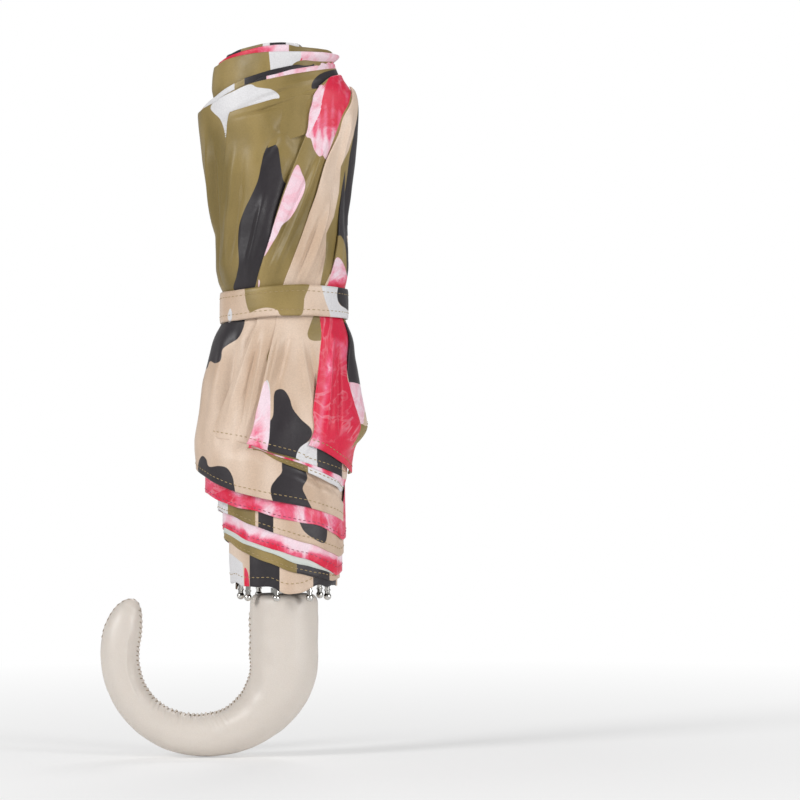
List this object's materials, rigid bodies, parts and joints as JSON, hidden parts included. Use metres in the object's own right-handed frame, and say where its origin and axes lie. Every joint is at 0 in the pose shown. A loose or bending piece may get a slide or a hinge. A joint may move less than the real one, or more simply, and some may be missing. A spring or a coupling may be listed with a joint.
{
  "type": "folding umbrella",
  "caption": "Three-fold umbrella with a telescopic shaft and a stitched leather crook handle, folded and strapped in its printed canopy.",
  "frame": {"origin": "shaft axis at the top face of the handle", "axes": "+Z along the shaft to the crown, -X towards the crook's free end, -Y to the front"},
  "size_m": [0.1308, 0.0561, 0.356],
  "materials": {
    "core": "turned hardwood, hidden under the leather",
    "handle_leather": "smooth pale beige leather, hand stitched",
    "bright_metal": "polished",
    "tip_chrome": "polished ball tips on plated rods",
    "shaft": "drawn tube, satin",
    "spring_steel": "spring steel",
    "rib_steel": "black enamelled U-section",
    "black_plastic": "moulded",
    "button": "moulded, polished",
    "cap": "moulded, domed",
    "canopy_fabric": "printed satin in olive, tan, charcoal, white and pink",
    "strap_fabric": "printed satin, double stitched"
  },
  "bodies": {
    "handle": {"handle_core": "core", "handle_leather": "handle_leather", "handle_collar": "bright_metal", "lower_tube": "shaft", "lower_lock_spring": "spring_steel"},
    "middle_tube": {"middle_tube": "shaft", "upper_lock_spring": "spring_steel"},
    "upper_tube": {"upper_tube": "shaft", "crown_hub": "black_plastic", "crown_ring": "spring_steel", "top_cap": "cap"},
    "runner": {"runner": "black_plastic", "runner_ring": "spring_steel"},
    "runner_button": {"runner_button": "button"},
    "top_rib_1": {"top_rib_1": "rib_steel"},
    "middle_rib_1": {"middle_rib_1": "rib_steel"},
    "tip_rib_1": {"tip_rib_1": "tip_chrome", "canopy_gore_1": "canopy_fabric"},
    "stretcher_1": {"stretcher_1": "rib_steel"},
    "top_rib_2": {"top_rib_2": "rib_steel"},
    "middle_rib_2": {"middle_rib_2": "rib_steel"},
    "tip_rib_2": {"tip_rib_2": "tip_chrome", "canopy_gore_2": "canopy_fabric"},
    "stretcher_2": {"stretcher_2": "rib_steel"},
    "top_rib_3": {"top_rib_3": "rib_steel"},
    "middle_rib_3": {"middle_rib_3": "rib_steel"},
    "tip_rib_3": {"tip_rib_3": "tip_chrome", "canopy_gore_3": "canopy_fabric"},
    "stretcher_3": {"stretcher_3": "rib_steel"},
    "top_rib_4": {"top_rib_4": "rib_steel"},
    "middle_rib_4": {"middle_rib_4": "rib_steel"},
    "tip_rib_4": {"tip_rib_4": "tip_chrome", "canopy_gore_4": "canopy_fabric"},
    "stretcher_4": {"stretcher_4": "rib_steel"},
    "top_rib_5": {"top_rib_5": "rib_steel"},
    "middle_rib_5": {"middle_rib_5": "rib_steel"},
    "tip_rib_5": {"tip_rib_5": "tip_chrome", "canopy_gore_5": "canopy_fabric"},
    "stretcher_5": {"stretcher_5": "rib_steel"},
    "top_rib_6": {"top_rib_6": "rib_steel"},
    "middle_rib_6": {"middle_rib_6": "rib_steel"},
    "tip_rib_6": {"tip_rib_6": "tip_chrome", "canopy_gore_6": "canopy_fabric"},
    "stretcher_6": {"stretcher_6": "rib_steel"},
    "top_rib_7": {"top_rib_7": "rib_steel"},
    "middle_rib_7": {"middle_rib_7": "rib_steel"},
    "tip_rib_7": {"tip_rib_7": "tip_chrome", "canopy_gore_7": "canopy_fabric"},
    "stretcher_7": {"stretcher_7": "rib_steel"},
    "top_rib_8": {"top_rib_8": "rib_steel"},
    "middle_rib_8": {"middle_rib_8": "rib_steel"},
    "tip_rib_8": {"tip_rib_8": "tip_chrome", "canopy_gore_8": "canopy_fabric"},
    "stretcher_8": {"stretcher_8": "rib_steel"},
    "canopy_top_left": {"canopy_top_left": "canopy_fabric"},
    "canopy_top_right": {"canopy_top_right": "canopy_fabric"},
    "canopy_middle_left": {"canopy_middle_left": "canopy_fabric"},
    "canopy_middle_right": {"canopy_middle_right": "canopy_fabric"},
    "canopy_edge_left": {"strap": "strap_fabric"},
    "canopy_edge_right": {"strap_snap": "bright_metal"}
  },
  "joints": [
    {"name": "middle_tube_slide", "type": "slide", "parent": "handle", "child": "middle_tube", "axis": [0, 0, 1], "range_m": [0, 0.17]},
    {"name": "upper_tube_slide", "type": "slide", "parent": "middle_tube", "child": "upper_tube", "axis": [0, 0, 1], "range_m": [0, 0.17]},
    {"name": "runner_slide", "type": "slide", "parent": "upper_tube", "child": "runner", "axis": [0, 0, 1], "range_m": [0, 0.10046], "deforming": ["canopy_top_left", "canopy_top_right", "canopy_middle_left", "canopy_middle_right", "strap", "strap_snap", "canopy_gore_1", "canopy_gore_2", "canopy_gore_3", "canopy_gore_4", "canopy_gore_5", "canopy_gore_6", "canopy_gore_7", "canopy_gore_8"]},
    {"name": "runner_button_rock", "type": "hinge", "parent": "runner", "child": "runner_button", "pos_m": [-0.00309, -0.00594, 0.0215], "axis": [-0.887, 0.4617, 0], "range_deg": [-6, 0]},
    {"name": "top_rib_1_pivot", "type": "hinge", "parent": "upper_tube", "child": "top_rib_1", "pos_m": [-0.00743, 0.00104, 0.256], "axis": [0.1392, 0.9903, 0], "range_deg": [0, 81.97]},
    {"name": "middle_rib_1_pivot", "type": "hinge", "parent": "top_rib_1", "child": "middle_rib_1", "pos_m": [-0.0101, 0.00142, 0.106], "axis": [0.1392, 0.9903, 0], "range_deg": [-191.66, 0]},
    {"name": "tip_rib_1_pivot", "type": "hinge", "parent": "middle_rib_1", "child": "tip_rib_1", "pos_m": [-0.01337, 0.00188, 0.25], "axis": [0.1392, 0.9903, 0], "range_deg": [0, 164.75]},
    {"name": "stretcher_1_pivot", "type": "hinge", "parent": "runner", "child": "stretcher_1", "pos_m": [-0.00772, 0.00109, 0.036], "axis": [0.1392, 0.9903, 0], "range_deg": [-38.03, 0]},
    {"name": "top_rib_2_pivot", "type": "hinge", "parent": "upper_tube", "child": "top_rib_2", "pos_m": [-0.00599, -0.00451, 0.256], "axis": [-0.6018, 0.7986, 0], "range_deg": [0, 81.97]},
    {"name": "middle_rib_2_pivot", "type": "hinge", "parent": "top_rib_2", "child": "middle_rib_2", "pos_m": [-0.00815, -0.00614, 0.106], "axis": [-0.6018, 0.7986, 0], "range_deg": [-191.66, 0]},
    {"name": "tip_rib_2_pivot", "type": "hinge", "parent": "middle_rib_2", "child": "tip_rib_2", "pos_m": [-0.01078, -0.00812, 0.25], "axis": [-0.6018, 0.7986, 0], "range_deg": [0, 164.75]},
    {"name": "stretcher_2_pivot", "type": "hinge", "parent": "runner", "child": "stretcher_2", "pos_m": [-0.00623, -0.00469, 0.036], "axis": [-0.6018, 0.7986, 0], "range_deg": [-38.03, 0]},
    {"name": "top_rib_3_pivot", "type": "hinge", "parent": "upper_tube", "child": "top_rib_3", "pos_m": [-0.00104, -0.00743, 0.256], "axis": [-0.9903, 0.1392, 0], "range_deg": [0, 81.97]},
    {"name": "middle_rib_3_pivot", "type": "hinge", "parent": "top_rib_3", "child": "middle_rib_3", "pos_m": [-0.00142, -0.0101, 0.106], "axis": [-0.9903, 0.1392, 0], "range_deg": [-191.66, 0]},
    {"name": "tip_rib_3_pivot", "type": "hinge", "parent": "middle_rib_3", "child": "tip_rib_3", "pos_m": [-0.00188, -0.01337, 0.25], "axis": [-0.9903, 0.1392, 0], "range_deg": [0, 164.75]},
    {"name": "stretcher_3_pivot", "type": "hinge", "parent": "runner", "child": "stretcher_3", "pos_m": [-0.00109, -0.00772, 0.036], "axis": [-0.9903, 0.1392, 0], "range_deg": [-38.03, 0]},
    {"name": "top_rib_4_pivot", "type": "hinge", "parent": "upper_tube", "child": "top_rib_4", "pos_m": [0.00451, -0.00599, 0.256], "axis": [-0.7986, -0.6018, 0], "range_deg": [0, 81.97]},
    {"name": "middle_rib_4_pivot", "type": "hinge", "parent": "top_rib_4", "child": "middle_rib_4", "pos_m": [0.00614, -0.00815, 0.106], "axis": [-0.7986, -0.6018, 0], "range_deg": [-191.66, 0]},
    {"name": "tip_rib_4_pivot", "type": "hinge", "parent": "middle_rib_4", "child": "tip_rib_4", "pos_m": [0.00812, -0.01078, 0.25], "axis": [-0.7986, -0.6018, 0], "range_deg": [0, 164.75]},
    {"name": "stretcher_4_pivot", "type": "hinge", "parent": "runner", "child": "stretcher_4", "pos_m": [0.00469, -0.00623, 0.036], "axis": [-0.7986, -0.6018, 0], "range_deg": [-38.03, 0]},
    {"name": "top_rib_5_pivot", "type": "hinge", "parent": "upper_tube", "child": "top_rib_5", "pos_m": [0.00743, -0.00104, 0.256], "axis": [-0.1392, -0.9903, 0], "range_deg": [0, 81.97]},
    {"name": "middle_rib_5_pivot", "type": "hinge", "parent": "top_rib_5", "child": "middle_rib_5", "pos_m": [0.0101, -0.00142, 0.106], "axis": [-0.1392, -0.9903, 0], "range_deg": [-191.66, 0]},
    {"name": "tip_rib_5_pivot", "type": "hinge", "parent": "middle_rib_5", "child": "tip_rib_5", "pos_m": [0.01337, -0.00188, 0.25], "axis": [-0.1392, -0.9903, 0], "range_deg": [0, 164.75]},
    {"name": "stretcher_5_pivot", "type": "hinge", "parent": "runner", "child": "stretcher_5", "pos_m": [0.00772, -0.00109, 0.036], "axis": [-0.1392, -0.9903, 0], "range_deg": [-38.03, 0]},
    {"name": "top_rib_6_pivot", "type": "hinge", "parent": "upper_tube", "child": "top_rib_6", "pos_m": [0.00599, 0.00451, 0.256], "axis": [0.6018, -0.7986, 0], "range_deg": [0, 81.97]},
    {"name": "middle_rib_6_pivot", "type": "hinge", "parent": "top_rib_6", "child": "middle_rib_6", "pos_m": [0.00815, 0.00614, 0.106], "axis": [0.6018, -0.7986, 0], "range_deg": [-191.66, 0]},
    {"name": "tip_rib_6_pivot", "type": "hinge", "parent": "middle_rib_6", "child": "tip_rib_6", "pos_m": [0.01078, 0.00812, 0.25], "axis": [0.6018, -0.7986, 0], "range_deg": [0, 164.75]},
    {"name": "stretcher_6_pivot", "type": "hinge", "parent": "runner", "child": "stretcher_6", "pos_m": [0.00623, 0.00469, 0.036], "axis": [0.6018, -0.7986, 0], "range_deg": [-38.03, 0]},
    {"name": "top_rib_7_pivot", "type": "hinge", "parent": "upper_tube", "child": "top_rib_7", "pos_m": [0.00104, 0.00743, 0.256], "axis": [0.9903, -0.1392, 0], "range_deg": [0, 81.97]},
    {"name": "middle_rib_7_pivot", "type": "hinge", "parent": "top_rib_7", "child": "middle_rib_7", "pos_m": [0.00142, 0.0101, 0.106], "axis": [0.9903, -0.1392, 0], "range_deg": [-191.66, 0]},
    {"name": "tip_rib_7_pivot", "type": "hinge", "parent": "middle_rib_7", "child": "tip_rib_7", "pos_m": [0.00188, 0.01337, 0.25], "axis": [0.9903, -0.1392, 0], "range_deg": [0, 164.75]},
    {"name": "stretcher_7_pivot", "type": "hinge", "parent": "runner", "child": "stretcher_7", "pos_m": [0.00109, 0.00772, 0.036], "axis": [0.9903, -0.1392, 0], "range_deg": [-38.03, 0]},
    {"name": "top_rib_8_pivot", "type": "hinge", "parent": "upper_tube", "child": "top_rib_8", "pos_m": [-0.00451, 0.00599, 0.256], "axis": [0.7986, 0.6018, 0], "range_deg": [0, 81.97]},
    {"name": "middle_rib_8_pivot", "type": "hinge", "parent": "top_rib_8", "child": "middle_rib_8", "pos_m": [-0.00614, 0.00815, 0.106], "axis": [0.7986, 0.6018, 0], "range_deg": [-191.66, 0]},
    {"name": "tip_rib_8_pivot", "type": "hinge", "parent": "middle_rib_8", "child": "tip_rib_8", "pos_m": [-0.00812, 0.01078, 0.25], "axis": [0.7986, 0.6018, 0], "range_deg": [0, 164.75]},
    {"name": "stretcher_8_pivot", "type": "hinge", "parent": "runner", "child": "stretcher_8", "pos_m": [-0.00469, 0.00623, 0.036], "axis": [0.7986, 0.6018, 0], "range_deg": [-38.03, 0]},
    {"name": "canopy_top_left_spread", "type": "hinge", "parent": "top_rib_1", "child": "canopy_top_left", "pos_m": [-0.00039, 0.00006, 0.26247], "axis": [-0.978, 0.1374, 0.157], "range_deg": [-179.8, 0]},
    {"name": "canopy_top_right_spread", "type": "hinge", "parent": "top_rib_1", "child": "canopy_top_right", "pos_m": [-0.00039, 0.00006, 0.26247], "axis": [-0.978, 0.1374, 0.157], "range_deg": [0, 179.8]},
    {"name": "canopy_middle_left_spread", "type": "hinge", "parent": "middle_rib_1", "child": "canopy_middle_left", "pos_m": [-0.04829, 0.00679, -0.04595], "axis": [0.9324, -0.131, -0.3369], "range_deg": [-179.8, 0]},
    {"name": "canopy_middle_right_spread", "type": "hinge", "parent": "middle_rib_1", "child": "canopy_middle_right", "pos_m": [-0.04829, 0.00679, -0.04595], "axis": [0.9324, -0.131, -0.3369], "range_deg": [0, 179.8]},
    {"name": "canopy_edge_left_spread", "type": "hinge", "parent": "tip_rib_1", "child": "canopy_edge_left", "pos_m": [0.10218, -0.01436, 0.52426], "axis": [-0.8018, 0.1127, 0.5869], "range_deg": [-179.8, 0]},
    {"name": "canopy_edge_right_spread", "type": "hinge", "parent": "tip_rib_1", "child": "canopy_edge_right", "pos_m": [0.10218, -0.01436, 0.52426], "axis": [-0.8018, 0.1127, 0.5869], "range_deg": [0, 179.8]}
  ],
  "couplings": [
    {"joint": "top_rib_1_pivot", "follows": "runner_slide", "rad_per_m": 14.067},
    {"joint": "middle_rib_1_pivot", "follows": "runner_slide", "rad_per_m": -33.123},
    {"joint": "tip_rib_1_pivot", "follows": "runner_slide", "rad_per_m": 28.448},
    {"joint": "stretcher_1_pivot", "follows": "runner_slide", "rad_per_m": -6.4337},
    {"joint": "top_rib_2_pivot", "follows": "runner_slide", "rad_per_m": 14.067},
    {"joint": "middle_rib_2_pivot", "follows": "runner_slide", "rad_per_m": -33.123},
    {"joint": "tip_rib_2_pivot", "follows": "runner_slide", "rad_per_m": 28.448},
    {"joint": "stretcher_2_pivot", "follows": "runner_slide", "rad_per_m": -6.4337},
    {"joint": "top_rib_3_pivot", "follows": "runner_slide", "rad_per_m": 14.067},
    {"joint": "middle_rib_3_pivot", "follows": "runner_slide", "rad_per_m": -33.123},
    {"joint": "tip_rib_3_pivot", "follows": "runner_slide", "rad_per_m": 28.448},
    {"joint": "stretcher_3_pivot", "follows": "runner_slide", "rad_per_m": -6.4337},
    {"joint": "top_rib_4_pivot", "follows": "runner_slide", "rad_per_m": 14.067},
    {"joint": "middle_rib_4_pivot", "follows": "runner_slide", "rad_per_m": -33.123},
    {"joint": "tip_rib_4_pivot", "follows": "runner_slide", "rad_per_m": 28.448},
    {"joint": "stretcher_4_pivot", "follows": "runner_slide", "rad_per_m": -6.4337},
    {"joint": "top_rib_5_pivot", "follows": "runner_slide", "rad_per_m": 14.067},
    {"joint": "middle_rib_5_pivot", "follows": "runner_slide", "rad_per_m": -33.123},
    {"joint": "tip_rib_5_pivot", "follows": "runner_slide", "rad_per_m": 28.448},
    {"joint": "stretcher_5_pivot", "follows": "runner_slide", "rad_per_m": -6.4337},
    {"joint": "top_rib_6_pivot", "follows": "runner_slide", "rad_per_m": 14.067},
    {"joint": "middle_rib_6_pivot", "follows": "runner_slide", "rad_per_m": -33.123},
    {"joint": "tip_rib_6_pivot", "follows": "runner_slide", "rad_per_m": 28.448},
    {"joint": "stretcher_6_pivot", "follows": "runner_slide", "rad_per_m": -6.4337},
    {"joint": "top_rib_7_pivot", "follows": "runner_slide", "rad_per_m": 14.067},
    {"joint": "middle_rib_7_pivot", "follows": "runner_slide", "rad_per_m": -33.123},
    {"joint": "tip_rib_7_pivot", "follows": "runner_slide", "rad_per_m": 28.448},
    {"joint": "stretcher_7_pivot", "follows": "runner_slide", "rad_per_m": -6.4337},
    {"joint": "top_rib_8_pivot", "follows": "runner_slide", "rad_per_m": 14.067},
    {"joint": "middle_rib_8_pivot", "follows": "runner_slide", "rad_per_m": -33.123},
    {"joint": "tip_rib_8_pivot", "follows": "runner_slide", "rad_per_m": 28.448},
    {"joint": "stretcher_8_pivot", "follows": "runner_slide", "rad_per_m": -6.4337},
    {"joint": "canopy_top_left_spread", "follows": "runner_slide", "rad_per_m": -31.185},
    {"joint": "canopy_top_right_spread", "follows": "runner_slide", "rad_per_m": 31.185},
    {"joint": "canopy_middle_left_spread", "follows": "runner_slide", "rad_per_m": -31.185},
    {"joint": "canopy_middle_right_spread", "follows": "runner_slide", "rad_per_m": 31.185},
    {"joint": "canopy_edge_left_spread", "follows": "runner_slide", "rad_per_m": -31.185},
    {"joint": "canopy_edge_right_spread", "follows": "runner_slide", "rad_per_m": 31.185}
  ]
}
